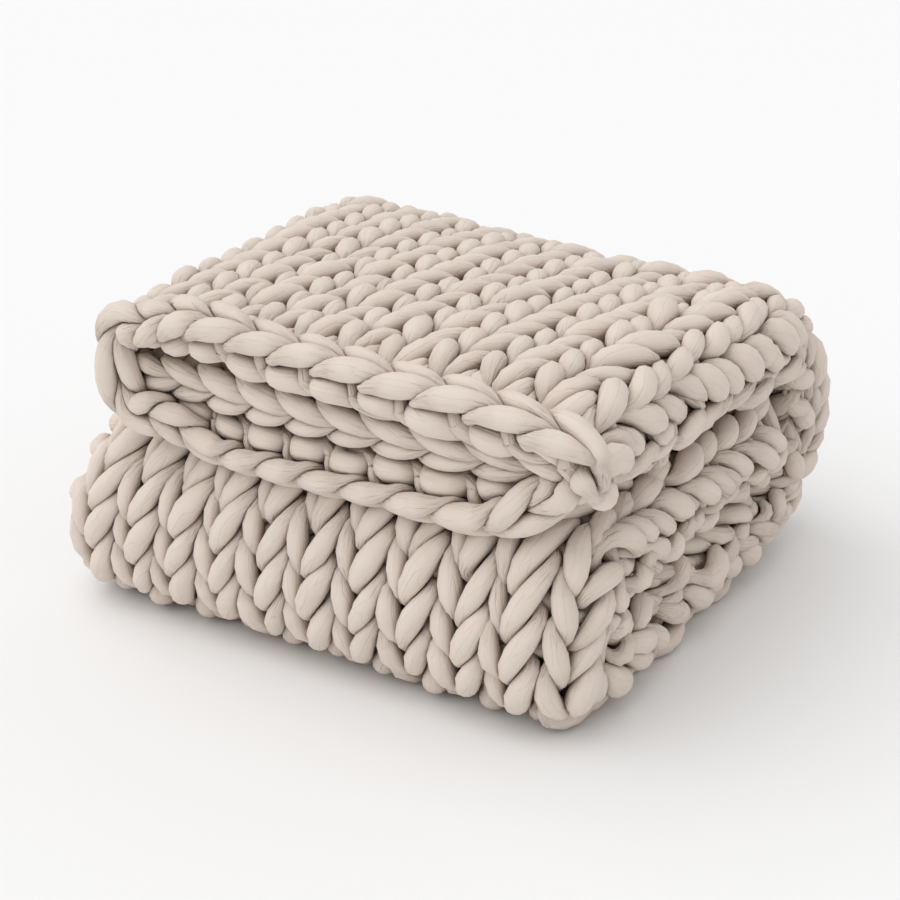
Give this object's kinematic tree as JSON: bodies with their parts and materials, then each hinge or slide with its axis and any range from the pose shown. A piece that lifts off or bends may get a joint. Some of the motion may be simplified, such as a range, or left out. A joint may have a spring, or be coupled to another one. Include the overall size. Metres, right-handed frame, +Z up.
{
  "type": "folded chunky knit weighted blanket",
  "caption": "Chunky knitted weighted blanket, folded in three across and wrapped over itself lengthwise into a low square stack.",
  "frame": {"origin": "on the floor, under the middle of the folded stack's box", "axes": "+Z up; -Y is the front, where the three edges of the strip's cut end lie over the front turn; +X is the right end, where the folded layers show"},
  "size_m": [0.5206, 0.4996, 0.2793],
  "materials": {
    "stuffed_jersey_yarn": "matte warm beige cotton jersey tube with a soft filling, knitted into thick plump stitches"
  },
  "bodies": {
    "root": {"knit_blanket": "stuffed_jersey_yarn"}
  },
  "joints": []
}
